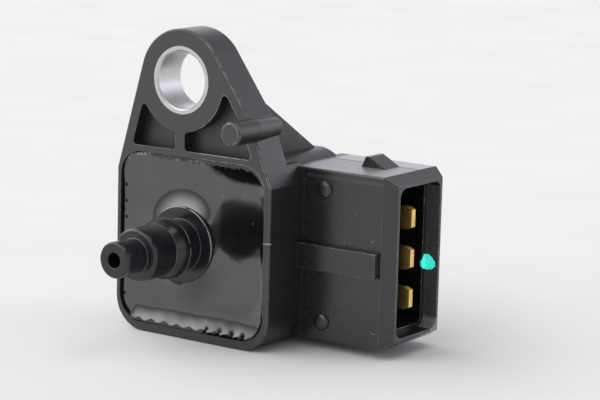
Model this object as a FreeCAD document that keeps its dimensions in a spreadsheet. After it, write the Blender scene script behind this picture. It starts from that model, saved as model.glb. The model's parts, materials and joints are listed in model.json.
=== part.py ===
"""Manifold absolute pressure sensor: a parametric document with one object for each separate piece.

The frame, in millimetres: the origin lies on the eye's axis in the seating face, X points out of the
connector, Y points from the nozzle to the back, and Z points up from the box to the eye.
"""
import math
import os

import FreeCAD
import Part
import Sketcher

DRIVING_SIZES = [
    # Eye and plate
    ("bush_bore_radius", 3.57, "hole for the fixing screw"),
    ("bush_wall", 0.61, "metal of the bush"),
    ("bush_chamfer", 0.18, "break on the bush's inner edges"),
    ("eye_wall", 2.12, "plastic outside the bush"),
    ("plate_thickness", 4.65, "seating face to the back of the eye"),
    ("shoulder_drop", 11.9, "eye axis down to where the flanks meet the box"),
    ("knee_reach", 10.45, "bend of the right flank, to the right of the eye axis"),
    ("knee_drop", 3.65, "bend of the right flank, below the eye axis"),
    ("peg_along", 0.167, "peg's place on the lower right flank, as a share of the way down from the bend"),
    ("peg_radius", 1.45, "locating peg on the right flank"),
    ("peg_length", 4.55, "peg in front of the seating face"),
    ("peg_bevel", 0.2, "edge of the peg's end"),
    ("peg_draft", 4.0, "draft of the peg's foot in the plate, in degrees"),
    ("pocket_depth", 1.7, "triangular pockets in the plate"),
    ("pocket_wall", 1.4, "wall between a pocket and the flank"),
    ("pocket_ring", 2.27, "wall between a pocket and the bush"),
    ("pocket_rib", 1.4, "rib between the two pockets"),
    ("pocket_drop", 8.7, "eye axis down to the pockets' lower edge"),
    ("pocket_rounding", 0.5, "corners of the pockets"),
    ("gusset_drop", 2.45, "eye axis down to the gussets' top"),
    ("gusset_run", 10.6, "gussets behind the plate"),
    ("gusset_thickness", 1.8, "each gusset"),
    ("gusset_right", 9.7, "outer face of the right gusset"),
    ("gusset_left", 7.2, "outer face of the left gusset"),
    # Box
    ("box_left", 9.85, "eye axis to the left side"),
    ("box_right", 13.9, "eye axis to the right side"),
    ("box_top_drop", 8.95, "eye axis down to the top"),
    ("box_drop", 32.4, "eye axis down to the bottom"),
    ("box_depth", 17.0, "seating face to the back"),
    ("box_corner", 4.2, "upright corners"),
    ("web_drop", 9.6, "eye axis down to the top of the web between plate and connector"),
    ("web_run", 2.75, "that web, behind the plate"),
    ("back_bevel", 0.7, "edge around the back"),
    ("front_bevel", 0.15, "outer edge of the seating face"),
    ("rim_left", 0.6, "rim of the potted recess"),
    ("rim_right", 0.9, "rim of the potted recess"),
    ("rim_bottom", 1.2, "rim of the potted recess"),
    ("rim_top", 0.5, "rim of the potted recess"),
    ("recess_corner", 3.2, "corners of the potted recess"),
    ("recess_depth", 4.2, "seating face to the cover's ledge"),
    ("cover_ledge", 1.1, "width of the cover's ledge"),
    ("board_seat", 10.15, "seating face to the board's ledge"),
    ("board_ledge", 0.9, "width of the board's ledge"),
    ("back_wall", 1.8, "wall behind the terminals' tails"),
    # Connector
    ("connector_drop", 20.53, "eye axis down to the middle terminal"),
    ("connector_depth", 12.62, "seating face back to the terminals' plane"),
    ("connector_height", 21.3, "shroud along Z"),
    ("connector_width", 11.92, "shroud along Y"),
    ("connector_reach", 27.25, "eye axis to the shroud's rim"),
    ("connector_root", 2.3, "shroud sunk into the box's side"),
    ("lead_in_length", 1.65, "bevel around the shroud's end"),
    ("lead_in_angle", 32.2, "slope of that bevel, in degrees"),
    ("shroud_rounding", 0.25, "long edges of the shroud"),
    ("mouth_wall", 1.4, "shroud's outside to the mouth"),
    ("mouth_corner", 1.2, "corners of the mouth"),
    ("mouth_depth", 2.0, "mouth, in front of its ledge"),
    ("mouth_ledge", 0.5, "step from the mouth to the cavity"),
    ("cavity_depth", 9.6, "rim to the cavity's floor"),
    ("rail_height", 1.0, "side rail, proud of the shroud"),
    ("rail_width", 3.1, "side rail along Z"),
    ("rail_drop", 0.15, "side rail's middle below the middle terminal"),
    ("rail_setback", 1.85, "rim to the rail's end"),
    ("button_radius", 1.1, "round buttons on the shroud's side"),
    ("button_height", 0.45, "round buttons on the shroud's side"),
    ("button_bevel", 0.35, "edge of the round buttons"),
    ("button_spacing", 16.45, "between the round buttons"),
    ("button_setback", 10.0, "rim to the round buttons"),
    ("wedge_setback", 4.55, "rim to the foot of the latch wedge"),
    ("wedge_length", 3.6, "latch wedge along X"),
    ("wedge_width", 3.06, "latch wedge along Y"),
    ("wedge_height", 1.34, "latch wedge above the shroud"),
    ("wedge_shift", 0.65, "latch wedge's middle behind the terminals' plane"),
    ("wedge_heel", 0.63, "run of the wedge's steep side"),
    ("wedge_land", 0.55, "flat on the wedge's ridge"),
    ("overlap", 0.6, "how far a raised feature is sunk into its base"),
    # Terminals
    ("tab_pitch", 5.0, "between terminals"),
    ("tab_width", 2.8, "terminal along Z"),
    ("tab_thickness", 0.8, "terminal along Y"),
    ("tab_setback", 0.93, "rim to the terminals' ends"),
    ("tab_tip_width", 2.15, "terminal's narrowed end"),
    ("tab_tip_length", 0.7, "terminal's narrowed end"),
    ("tail_reach", 9.6, "eye axis to the middle of a terminal's tail"),
    ("tail_width", 1.2, "tail along Z"),
    ("tail_stand", 1.0, "tail in front of the board"),
    # Nozzle with its cover plate
    ("nozzle_shift", 0.65, "nozzle's axis to the right of the eye axis"),
    ("nozzle_drop", 20.38, "nozzle's axis below the eye axis"),
    ("air_bore_radius", 0.92, "air passage"),
    ("tip_reach", 13.25, "nozzle's end in front of the seating face"),
    ("tip_radius", 2.24, "bead at the nozzle's end"),
    ("tip_length", 1.7, "bead at the nozzle's end"),
    ("tip_rounding", 0.4, "edge of that bead, in two bevels"),
    ("neck_radius", 2.05, "behind the bead"),
    ("step_reach", 9.35, "step to the thick part, in front of the seating face"),
    ("step_rounding", 0.5, "edge of that step, in two bevels"),
    ("hose_radius", 3.27, "thick part, where the hose sits"),
    ("barb_reach", 5.2, "barb's front, in front of the seating face"),
    ("barb_length", 2.1, "barb along Y"),
    ("barb_shoulder", 0.9, "steep part of the barb's ramp"),
    ("barb_crest", 0.55, "flat crest before the barb's sharp back edge"),
    ("barb_swell", 0.55, "barb's height above the thick part"),
    ("throat_radius", 3.18, "between the barb and the boss"),
    ("boss_reach", 0.4, "boss's face in front of the seating face"),
    ("boss_radius", 4.77, "boss that the potting meets"),
    ("cover_thickness", 1.4, "cover plate"),
    ("cover_gap", 0.15, "around the cover plate"),
    ("collar_radius", 4.2, "inner collar around the pressure chip"),
    ("collar_wall", 1.0, "inner collar"),
    ("tooth_inset_x", 2.975, "cover's left or right edge to the first tooth of a row along X"),
    ("tooth_inset_z", 2.5, "cover's upper or lower edge to the first tooth of a row along Z"),
    ("tooth_width", 0.6, "tooth along the cover's edge"),
    ("tooth_thickness", 0.45, "tooth across the cover's edge"),
    ("tooth_top", 0.45, "seating face back to the teeth's ends"),
    # Potting
    ("potting_level", 0.7, "seating face back to the potting"),
    ("meniscus_run", 2.08, "potting that climbs the boss, outwards"),
    ("meniscus_rise", 0.85, "potting that climbs the boss, along Y"),
    # Board and what it carries
    ("board_thickness", 0.8, "ceramic"),
    ("board_gap", 0.2, "around the board"),
    ("adhesive_thickness", 0.15, "under the board's edge"),
    ("tail_hole_radius", 0.85, "holes for the tails"),
    ("solder_radius", 1.3, "foot of a solder joint"),
    ("solder_height", 0.7, "solder joint in front of the board"),
    ("seal_thickness", 1.0, "rubber ring between collar and board"),
    ("glass_side", 2.6, "chip's glass base"),
    ("glass_thickness", 0.9, "chip's glass base"),
    ("chip_side", 2.2, "pressure chip"),
    ("chip_thickness", 0.5, "pressure chip"),
    ("pit_side", 1.2, "etched pit under the diaphragm"),
    ("pit_depth", 0.42, "etched pit under the diaphragm"),
    ("gel_depth", 1.9, "gel over the board"),
    ("signal_side", 4.0, "signal chip"),
    ("signal_thickness", 1.1, "signal chip"),
    ("signal_left", 5.25, "signal chip, to the left of the nozzle's axis"),
    ("signal_up", 6.7, "signal chip, above the nozzle's axis"),
    ("capacitor_length", 2.0, "chip capacitor along X"),
    ("capacitor_width", 1.25, "chip capacitor along Z"),
    ("capacitor_height", 0.9, "chip capacitor along Y"),
    ("capacitor_gap", 0.4, "between a solder joint and its capacitor"),
]

LEVELS = {"upper": 1, "middle": 0, "lower": -1}
TEETH_PER_SIDE = 9

doc = FreeCAD.newDocument("pressure_sensor")


class Size:
    """A number together with the expression that gives it, so that what it drives follows the sheet."""

    def __init__(self, number, text):
        self.number = number
        self.text = text

    @staticmethod
    def of(value):
        return value if isinstance(value, Size) else Size(float(value), repr(float(value)))

    def joined(self, sign, other, number):
        return Size(number, f"({self.text} {sign} {other.text})")

    def __add__(self, value):
        other = Size.of(value)
        return self.joined("+", other, self.number + other.number)

    def __sub__(self, value):
        other = Size.of(value)
        return self.joined("-", other, self.number - other.number)

    def __mul__(self, value):
        other = Size.of(value)
        return self.joined("*", other, self.number * other.number)

    def __truediv__(self, value):
        other = Size.of(value)
        return self.joined("/", other, self.number / other.number)

    def __rsub__(self, value):
        return Size.of(value) - self

    def __neg__(self):
        return Size.of(0) - self

    def root(self):
        return Size(math.sqrt(self.number), f"sqrt({self.text})")


class Sizes:
    """The sheet: each driving size is an attribute, and so is each derived one, kept as a formula cell."""

    def __init__(self):
        self.sheet = doc.addObject("Spreadsheet::Sheet", "sizes")
        self.rows = 0
        for name, number, note in DRIVING_SIZES:
            self.store(name, number, str(number), note)

    def store(self, name, number, content, note):
        self.rows += 1
        self.sheet.set(f"A{self.rows}", name)
        self.sheet.set(f"B{self.rows}", content)
        self.sheet.set(f"C{self.rows}", note)
        self.sheet.setAlias(f"B{self.rows}", name)
        setattr(self, name, Size(number, f"sizes.{name}"))

    def derive(self, name, size, note=""):
        self.store(name, size.number, "=" + size.text.replace("sizes.", ""), note)


sizes = Sizes()


def derive_sizes(s):
    """Works out, once, the places that several pieces share."""
    s.derive("bush_radius", s.bush_bore_radius + s.bush_wall)
    s.derive("eye_radius", s.bush_radius + s.eye_wall)
    s.derive("pocket_arc", s.bush_radius + s.pocket_ring)
    s.derive("recess_left", s.rim_left - s.box_left)
    s.derive("recess_right", s.box_right - s.rim_right)
    s.derive("recess_bottom", s.rim_bottom - s.box_drop)
    s.derive("recess_top", -s.box_top_drop - s.rim_top)
    s.derive("connector_near", s.connector_depth - s.connector_width / 2)
    s.derive("connector_far", s.connector_depth + s.connector_width / 2)
    s.derive("connector_top", s.connector_height / 2 - s.connector_drop)
    s.derive("connector_bottom", -s.connector_height / 2 - s.connector_drop)
    s.derive("cavity_floor", s.connector_reach - s.cavity_depth)
    s.derive("cover_front", s.recess_depth - s.cover_thickness)
    s.derive("board_back", s.board_seat - s.adhesive_thickness)
    s.derive("board_front", s.board_back - s.board_thickness)
    s.derive("collar_end", s.board_front - s.seal_thickness)
    s.derive("collar_bore", s.collar_radius - s.collar_wall)
    s.derive("peg_reach", s.knee_reach + (s.box_right - s.knee_reach) * s.peg_along)
    s.derive("peg_drop", s.knee_drop + (s.shoulder_drop - s.knee_drop) * s.peg_along)
    derive_flanks(s)


def derive_flanks(s):
    """Outward normals of the plate's flanks: the left and the upper right one are tangent to the eye."""
    left_far = (s.box_left * s.box_left + s.shoulder_drop * s.shoulder_drop)
    left_run = (left_far - s.eye_radius * s.eye_radius).root()
    s.derive("left_x", -(s.eye_radius * s.box_left + left_run * s.shoulder_drop) / left_far)
    s.derive("left_z", (left_run * s.box_left - s.eye_radius * s.shoulder_drop) / left_far)
    knee_far = (s.knee_reach * s.knee_reach + s.knee_drop * s.knee_drop)
    knee_run = (knee_far - s.eye_radius * s.eye_radius).root()
    s.derive("upper_x", (s.eye_radius * s.knee_reach + knee_run * s.knee_drop) / knee_far)
    s.derive("upper_z", (knee_run * s.knee_reach - s.eye_radius * s.knee_drop) / knee_far)
    rise = s.shoulder_drop - s.knee_drop
    run = s.box_right - s.knee_reach
    length = (rise * rise + run * run).root()
    s.derive("lower_x", rise / length)
    s.derive("lower_z", run / length)


def vector(x, y):
    return FreeCAD.Vector(x.number, y.number, 0)


def new_body(label, x=0, y=0, z=0):
    """An empty body whose own origin is placed at x, y, z."""
    body = doc.addObject("PartDesign::Body", label)
    for axis, value in zip("xyz", (x, y, z)):
        body.setExpression(f"Placement.Base.{axis}", Size.of(value).text)
    return body


def new_sketch(body, plane, name, offset=0):
    """A sketch on one of the body's own planes, moved along that plane's normal."""
    sketch = body.newObject("Sketcher::SketchObject", name)
    support = next(feature for feature in body.Origin.OriginFeatures if feature.Role == plane)
    sketch.AttachmentSupport = (support, [""])
    sketch.MapMode = "FlatFace"
    sketch.setExpression("AttachmentOffset.Base.z", Size.of(offset).text)
    return sketch


def bind(sketch, kind, geometry, position, size):
    """Ties a coordinate or a radius to a size."""
    if kind == "Radius":
        constraint = Sketcher.Constraint(kind, geometry, size.number)
    else:
        constraint = Sketcher.Constraint(kind, -1, 1, geometry, position, size.number)
    index = sketch.addConstraint(constraint)
    sketch.setExpression(f"Constraints[{index}]", size.text)


def draw_circle(sketch, x, y, radius):
    x, y = Size.of(x), Size.of(y)
    circle = Part.Circle(vector(x, y), FreeCAD.Vector(0, 0, 1), radius.number)
    index = sketch.addGeometry(circle, False)
    bind(sketch, "DistanceX", index, 3, x)
    bind(sketch, "DistanceY", index, 3, y)
    bind(sketch, "Radius", index, 0, radius)


def arc_between(start, end, centre):
    """The anticlockwise arc from start to end."""
    first = math.atan2(start.y - centre.y, start.x - centre.x)
    last = math.atan2(end.y - centre.y, end.x - centre.x)
    if last <= first:
        last += 2 * math.pi
    circle = Part.Circle(centre, FreeCAD.Vector(0, 0, 1), (start - centre).Length)
    return Part.ArcOfCircle(circle, first, last)


def draw_outline(sketch, corners):
    """A closed outline. A corner is (x, y), or (x, y, bend) where the edge to the next corner is an arc.

    A bend is (centre x, centre y, radius, turn), with a turn of 1 anticlockwise and -1 clockwise.
    """
    count = len(corners)
    places = [(Size.of(corner[0]), Size.of(corner[1])) for corner in corners]
    bends = [corner[2] if len(corner) == 3 else None for corner in corners]
    ends = []
    for i, bend in enumerate(bends):
        start = vector(*places[i])
        end = vector(*places[(i + 1) % count])
        if bend is None:
            index = sketch.addGeometry(Part.LineSegment(start, end), False)
            ends.append((index, 1, 2))
            continue
        x, y, radius, turn = Size.of(bend[0]), Size.of(bend[1]), bend[2], bend[3]
        pair = (start, end) if turn > 0 else (end, start)
        index = sketch.addGeometry(arc_between(*pair, vector(x, y)), False)
        ends.append((index, 1, 2) if turn > 0 else (index, 2, 1))
        bind(sketch, "DistanceX", index, 3, x)
        bind(sketch, "DistanceY", index, 3, y)
        bind(sketch, "Radius", index, 0, radius)
    for i in range(count):
        here, after = ends[i], ends[(i + 1) % count]
        sketch.addConstraint(Sketcher.Constraint("Coincident", here[0], here[2], after[0], after[1]))
    for i, (x, y) in enumerate(places):
        bend = bends[i] or bends[i - 1]
        across = bend and abs(x.number - Size.of(bend[0]).number) < abs(y.number - Size.of(bend[1]).number)
        if bend is None or across:
            bind(sketch, "DistanceX", ends[i][0], ends[i][1], x)
        if bend is None or not across:
            bind(sketch, "DistanceY", ends[i][0], ends[i][1], y)


def draw_rectangle(sketch, left, right, bottom, top):
    draw_outline(sketch, [(left, bottom), (right, bottom), (right, top), (left, top)])


def draw_rounded_rectangle(sketch, left, right, bottom, top, radius):
    inner_left, inner_right = left + radius, right - radius
    inner_bottom, inner_top = bottom + radius, top - radius
    draw_outline(sketch, [
        (inner_left, bottom),
        (inner_right, bottom, (inner_right, inner_bottom, radius, 1)),
        (right, inner_bottom),
        (right, inner_top, (inner_right, inner_top, radius, 1)),
        (inner_right, top),
        (inner_left, top, (inner_left, inner_top, radius, 1)),
        (left, inner_top),
        (left, inner_bottom, (inner_left, inner_bottom, radius, 1)),
    ])


def extrude(body, kind, sketch, length, backwards=False):
    """Adds a Pad or a Pocket of the sketch."""
    feature = body.newObject(f"PartDesign::{kind}", f"{sketch.Name}_{kind.lower()}")
    feature.Profile = sketch
    feature.Reversed = backwards
    feature.setExpression("Length", Size.of(length).text)
    return feature


def revolve(body, kind, sketch):
    """Adds a Revolution or a Groove of the sketch about its own upright axis."""
    feature = body.newObject(f"PartDesign::{kind}", f"{sketch.Name}_{kind.lower()}")
    feature.Profile = sketch
    feature.ReferenceAxis = (sketch, ["V_Axis"])
    feature.Angle = 360
    return feature


def dress_edges(body, kind, feature, size, wanted):
    """Adds a Fillet or a Chamfer on the edges of the feature's shape for which wanted(edge) holds."""
    doc.recompute()
    names = [f"Edge{i}" for i, edge in enumerate(feature.Shape.Edges, start=1) if wanted(edge)]
    dressed = body.newObject(f"PartDesign::{kind}", f"{feature.Name}_{kind.lower()}")
    dressed.Base = (feature, names)
    dressed.setExpression("Radius" if kind == "Fillet" else "Size", size.text)
    return dressed


def lies_at(edge, axis, place):
    """Whether the whole edge lies in the plane where the axis has that value."""
    low = getattr(edge.BoundBox, f"{axis.upper()}Min")
    high = getattr(edge.BoundBox, f"{axis.upper()}Max")
    return abs(low - place) < 1e-4 and abs(high - place) < 1e-4


def runs_along_y(edge, start, end):
    """Whether the edge is straight along Y, from start to end."""
    box = edge.BoundBox
    straight = box.XLength < 1e-4 and box.ZLength < 1e-4
    return straight and abs(box.YMin - start) < 1e-4 and abs(box.YMax - end) < 1e-4


def runs_along_x(edge, beyond, end):
    """Whether the edge is straight along X and ends there, having started no further than beyond."""
    box = edge.BoundBox
    straight = box.YLength < 1e-4 and box.ZLength < 1e-4
    return straight and box.XMin < beyond + 1e-4 and abs(box.XMax - end) < 1e-4


def recess_limits(s, inset=0):
    """Left, right, bottom, top and corner radius of the potted recess, moved in by inset."""
    return (s.recess_left + inset, s.recess_right - inset, s.recess_bottom + inset, s.recess_top - inset,
            s.recess_corner - inset)


def draw_plate(s, sketch):
    """Eye plate: an arc around the eye, two flanks and a straight foot inside the box."""
    foot = -s.box_top_drop - s.box_corner
    draw_outline(sketch, [
        (-s.box_left, foot),
        (s.box_right, foot),
        (s.box_right, -s.shoulder_drop),
        (s.knee_reach, -s.knee_drop),
        (s.eye_radius * s.upper_x, s.eye_radius * s.upper_z, (0, 0, s.eye_radius, 1)),
        (s.eye_radius * s.left_x, s.eye_radius * s.left_z),
        (-s.box_left, -s.shoulder_drop),
    ])


def draw_left_pocket(s, sketch):
    """Left pocket: between the eye's ring, the middle rib and a wall along the left flank."""
    wall = s.eye_radius - s.pocket_wall
    along = (s.pocket_arc * s.pocket_arc - wall * wall).root()
    rib = -s.pocket_rib / 2
    draw_outline(sketch, [
        ((wall + s.left_z * s.pocket_drop) / s.left_x, -s.pocket_drop),
        (rib, -s.pocket_drop),
        (rib, -(s.pocket_arc * s.pocket_arc - rib * rib).root(), (0, 0, s.pocket_arc, -1)),
        (wall * s.left_x - along * s.left_z, wall * s.left_z + along * s.left_x),
    ])


def draw_right_pocket(s, sketch):
    """Right pocket: the same, with a wall that bends with the right flank."""
    wall = s.eye_radius - s.pocket_wall
    along = (s.pocket_arc * s.pocket_arc - wall * wall).root()
    rib = s.pocket_rib / 2
    lower_wall = s.lower_x * s.knee_reach - s.lower_z * s.knee_drop - s.pocket_wall
    spread = s.upper_x * s.lower_z - s.upper_z * s.lower_x
    draw_outline(sketch, [
        (rib, -s.pocket_drop),
        ((lower_wall + s.lower_z * s.pocket_drop) / s.lower_x, -s.pocket_drop),
        ((wall * s.lower_z - lower_wall * s.upper_z) / spread,
         (s.upper_x * lower_wall - s.lower_x * wall) / spread),
        (wall * s.upper_x + along * s.upper_z, wall * s.upper_z - along * s.upper_x,
         (0, 0, s.pocket_arc, -1)),
        (rib, -(s.pocket_arc * s.pocket_arc - rib * rib).root()),
    ])


def add_box_and_plate(s, body):
    """Box with the eye plate in front and two gussets between them."""
    sketch = new_sketch(body, "XZ_Plane", "box")
    draw_rounded_rectangle(sketch, -s.box_left, s.box_right, -s.box_drop, -s.box_top_drop, s.box_corner)
    box = extrude(body, "Pad", sketch, s.box_depth, backwards=True)
    dress_edges(body, "Chamfer", box, s.back_bevel, lambda edge: lies_at(edge, "y", s.box_depth.number))
    sketch = new_sketch(body, "XZ_Plane", "plate")
    draw_plate(s, sketch)
    plate = extrude(body, "Pad", sketch, s.plate_thickness, backwards=True)
    dress_edges(body, "Chamfer", plate, s.front_bevel, lambda edge: lies_at(edge, "y", 0))
    add_web(s, body)
    sunk = -s.box_top_drop - s.overlap
    behind = s.plate_thickness + s.gusset_run
    for side, start in (("right", s.gusset_right - s.gusset_thickness), ("left", -s.gusset_left)):
        sketch = new_sketch(body, "YZ_Plane", f"gusset_{side}", start)
        draw_outline(sketch, [
            (s.plate_thickness, sunk),
            (behind, sunk),
            (behind, -s.box_top_drop),
            (s.plate_thickness, -s.gusset_drop),
        ])
        extrude(body, "Pad", sketch, s.gusset_thickness)


def add_web(s, body):
    """Web that carries the lower right flank back to the connector, up to the connector's top."""
    slope = (s.box_right - s.knee_reach) / (s.shoulder_drop - s.knee_drop)
    sketch = new_sketch(body, "XZ_Plane", "web", -s.plate_thickness)
    draw_outline(sketch, [
        (s.box_right - s.box_corner, -s.box_top_drop - s.box_corner),
        (s.box_right, -s.box_top_drop - s.box_corner),
        (s.box_right, -s.shoulder_drop),
        (s.box_right - (s.shoulder_drop - s.web_drop) * slope, -s.web_drop),
        (s.box_right - s.box_corner, -s.web_drop),
    ])
    extrude(body, "Pad", sketch, s.web_run, backwards=True)


def add_connector(s, body):
    """Shroud with a bevelled end, latch wedge, side rail and two buttons."""
    limits = (s.connector_near, s.connector_far, s.connector_bottom, s.connector_top)
    root = s.box_right - s.connector_root
    bevel_start = s.connector_reach - s.lead_in_length
    sketch = new_sketch(body, "YZ_Plane", "shroud", root)
    draw_rectangle(sketch, *limits)
    shroud = extrude(body, "Pad", sketch, bevel_start - root)
    dress_edges(body, "Fillet", shroud, s.shroud_rounding,
                lambda edge: runs_along_x(edge, s.box_right.number, bevel_start.number))
    sketch = new_sketch(body, "YZ_Plane", "lead_in", bevel_start)
    draw_rectangle(sketch, *limits)
    bevel = extrude(body, "Pad", sketch, s.lead_in_length)
    bevel.setExpression("TaperAngle", (-s.lead_in_angle).text)
    add_wedge(s, body)
    add_rail(s, body)
    add_buttons(s, body)


def add_wedge(s, body):
    """Latch wedge on the shroud: steep towards the box, ramped towards the rim."""
    end = s.connector_reach - s.wedge_setback
    start = end - s.wedge_length
    ridge = s.connector_top + s.wedge_height
    sunk = s.connector_top - s.overlap
    near = s.connector_depth + s.wedge_shift - s.wedge_width / 2
    sketch = new_sketch(body, "XZ_Plane", "wedge", -near)
    draw_outline(sketch, [
        (start, sunk),
        (end, sunk),
        (end, s.connector_top),
        (start + s.wedge_heel + s.wedge_land, ridge),
        (start + s.wedge_heel, ridge),
        (start, s.connector_top),
    ])
    extrude(body, "Pad", sketch, s.wedge_width, backwards=True)


def add_rail(s, body):
    """Raised rail along the shroud's side, from the box almost to the bevel."""
    middle = -s.connector_drop - s.rail_drop
    sketch = new_sketch(body, "XZ_Plane", "rail", s.rail_height - s.connector_near)
    draw_rectangle(sketch, s.box_right - s.overlap, s.connector_reach - s.rail_setback,
                   middle - s.rail_width / 2, middle + s.rail_width / 2)
    extrude(body, "Pad", sketch, s.rail_height + s.overlap, backwards=True)


def add_buttons(s, body):
    """Two low round buttons on the shroud's side."""
    front = s.connector_near - s.button_height
    sketch = new_sketch(body, "XZ_Plane", "buttons", -front)
    for side in (1, -1):
        draw_circle(sketch, s.connector_reach - s.button_setback,
                    s.button_spacing / 2 * side - s.connector_drop, s.button_radius)
    buttons = extrude(body, "Pad", sketch, s.button_height + s.overlap, backwards=True)
    across = 2 * s.button_radius.number
    dress_edges(body, "Chamfer", buttons, s.button_bevel,
                lambda edge: lies_at(edge, "y", front.number) and abs(edge.BoundBox.XLength - across) < 1e-3)


def cut_front(s, body):
    """Eye hole, the two pockets, and the stepped room for cover, board and terminals."""
    sketch = new_sketch(body, "XZ_Plane", "eye_hole")
    draw_circle(sketch, 0, 0, s.bush_radius)
    extrude(body, "Pocket", sketch, s.plate_thickness)
    sketch = new_sketch(body, "XZ_Plane", "pockets")
    draw_left_pocket(s, sketch)
    draw_right_pocket(s, sketch)
    pockets = extrude(body, "Pocket", sketch, s.pocket_depth)
    dress_edges(body, "Fillet", pockets, s.pocket_rounding,
                lambda edge: runs_along_y(edge, 0, s.pocket_depth.number))
    steps = (
        ("recess", Size.of(0), s.recess_depth),
        ("chamber", s.cover_ledge, s.board_seat),
        ("tail_room", s.cover_ledge + s.board_ledge, s.box_depth - s.back_wall),
    )
    for name, inset, depth in steps:
        sketch = new_sketch(body, "XZ_Plane", name)
        draw_rounded_rectangle(sketch, *recess_limits(s, inset))
        extrude(body, "Pocket", sketch, depth)


def cut_connector(s, body):
    """Mouth, cavity and the three slots in which the terminals are moulded."""
    for name, wall, corner, depth in (
            ("mouth", s.mouth_wall, s.mouth_corner, s.mouth_depth),
            ("cavity", s.mouth_wall + s.mouth_ledge, s.mouth_corner - s.mouth_ledge, s.cavity_depth)):
        sketch = new_sketch(body, "YZ_Plane", name, s.connector_reach)
        draw_rounded_rectangle(sketch, s.connector_near + wall, s.connector_far - wall,
                               s.connector_bottom + wall, s.connector_top - wall, corner)
        extrude(body, "Pocket", sketch, depth)
    sketch = new_sketch(body, "YZ_Plane", "slots", s.cavity_floor)
    for level in LEVELS.values():
        middle = s.tab_pitch * level - s.connector_drop
        draw_rectangle(sketch, s.connector_depth - s.tab_thickness / 2, s.connector_depth + s.tab_thickness / 2,
                       middle - s.tab_width / 2, middle + s.tab_width / 2)
    extrude(body, "Pocket", sketch, s.cavity_floor - s.tail_reach)


def add_peg(s, body):
    """Locating peg on the lower right flank, with a foot that narrows through the plate."""
    sketch = new_sketch(body, "XZ_Plane", "peg_foot")
    draw_circle(sketch, s.peg_reach, -s.peg_drop, s.peg_radius)
    foot = extrude(body, "Pad", sketch, s.plate_thickness, backwards=True)
    foot.setExpression("TaperAngle", (-s.peg_draft).text)
    sketch = new_sketch(body, "XZ_Plane", "peg", s.peg_length)
    draw_circle(sketch, s.peg_reach, -s.peg_drop, s.peg_radius)
    peg = extrude(body, "Pad", sketch, s.peg_length, backwards=True)
    dress_edges(body, "Chamfer", peg, s.peg_bevel, lambda edge: lies_at(edge, "y", -s.peg_length.number))


def make_housing(s):
    """The moulded housing, one piece."""
    body = new_body("housing")
    add_box_and_plate(s, body)
    add_connector(s, body)
    cut_front(s, body)
    cut_connector(s, body)
    add_peg(s, body)
    return body


def make_bush(s):
    """Metal sleeve in the eye, flush with both faces of the plate."""
    body = new_body("mounting_bush")
    sketch = new_sketch(body, "XY_Plane", "bush_section")
    opened = s.bush_bore_radius + s.bush_chamfer
    draw_outline(sketch, [
        (opened, 0),
        (s.bush_radius, 0),
        (s.bush_radius, s.plate_thickness),
        (opened, s.plate_thickness),
        (s.bush_bore_radius, s.plate_thickness - s.bush_chamfer),
        (s.bush_bore_radius, s.bush_chamfer),
    ])
    revolve(body, "Revolution", sketch)
    return body


def add_teeth(s, body, kind, backwards):
    """Rows of small teeth along the cover's four edges, drawn from the cover's front towards the front."""
    left, right, bottom, top, corner = recess_limits(s, s.cover_gap)
    left, right = left - s.nozzle_shift, right - s.nozzle_shift
    bottom, top = bottom + s.nozzle_drop, top + s.nozzle_drop
    thick, half = s.tooth_thickness, s.tooth_width / 2
    across, along = left + s.tooth_inset_x, bottom + s.tooth_inset_z
    rows = (
        ("X_Axis", right - s.tooth_inset_x - across,
         [(across - half, across + half, bottom, bottom + thick),
          (across - half, across + half, top - thick, top)]),
        ("Z_Axis", top - s.tooth_inset_z - along,
         [(left, left + thick, along - half, along + half),
          (right - thick, right, along - half, along + half)]),
    )
    for axis, length, rectangles in rows:
        sketch = new_sketch(body, "XZ_Plane", f"teeth_{axis[0].lower()}_{kind.lower()}", -s.cover_front)
        for limits in rectangles:
            draw_rectangle(sketch, *limits)
        first = extrude(body, kind, sketch, s.cover_front - s.tooth_top, backwards)
        row = body.newObject("PartDesign::LinearPattern", f"{sketch.Name}_row")
        row.Originals = [first]
        direction = next(feature for feature in body.Origin.OriginFeatures if feature.Role == axis)
        row.Direction = (direction, [""])
        row.setExpression("Length", length.text)
        row.Occurrences = TEETH_PER_SIDE
        body.Tip = row


def bevels(inner, front, rounding):
    """An outer edge in two bevels, from (inner, front) round to (inner + rounding, front + rounding)."""
    lean = Size.of(0.5).root()
    return [
        (inner, front),
        (inner + rounding * lean, front + rounding * (1 - lean)),
        (inner + rounding, front + rounding),
    ]


def nozzle_section(s):
    """Half section of the nozzle and its collar, from the air bore around the outside: (radius, y)."""
    tip, step = -s.tip_reach, -s.step_reach
    barb_end = s.barb_length - s.barb_reach
    crest_radius = s.hose_radius + s.barb_swell
    return [
        (s.air_bore_radius, s.recess_depth),
        (s.air_bore_radius, tip),
        *bevels(s.tip_radius - s.tip_rounding, tip, s.tip_rounding),
        (s.tip_radius, tip + s.tip_length),
        (s.neck_radius, tip + s.tip_length),
        (s.neck_radius, step),
        *bevels(s.hose_radius - s.step_rounding, step, s.step_rounding),
        (s.hose_radius, -s.barb_reach),
        (s.hose_radius + s.barb_swell * 3 / 4, s.barb_shoulder - s.barb_reach),
        (crest_radius, barb_end - s.barb_crest),
        (crest_radius, barb_end),
        (s.throat_radius, barb_end),
        (s.throat_radius, -s.boss_reach),
        (s.boss_radius, -s.boss_reach),
        (s.boss_radius, s.cover_front + s.cover_thickness / 2),
        (s.collar_radius, s.cover_front + s.cover_thickness / 2),
        (s.collar_radius, s.collar_end),
        (s.collar_bore, s.collar_end),
        (s.collar_bore, s.recess_depth),
    ]


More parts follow.
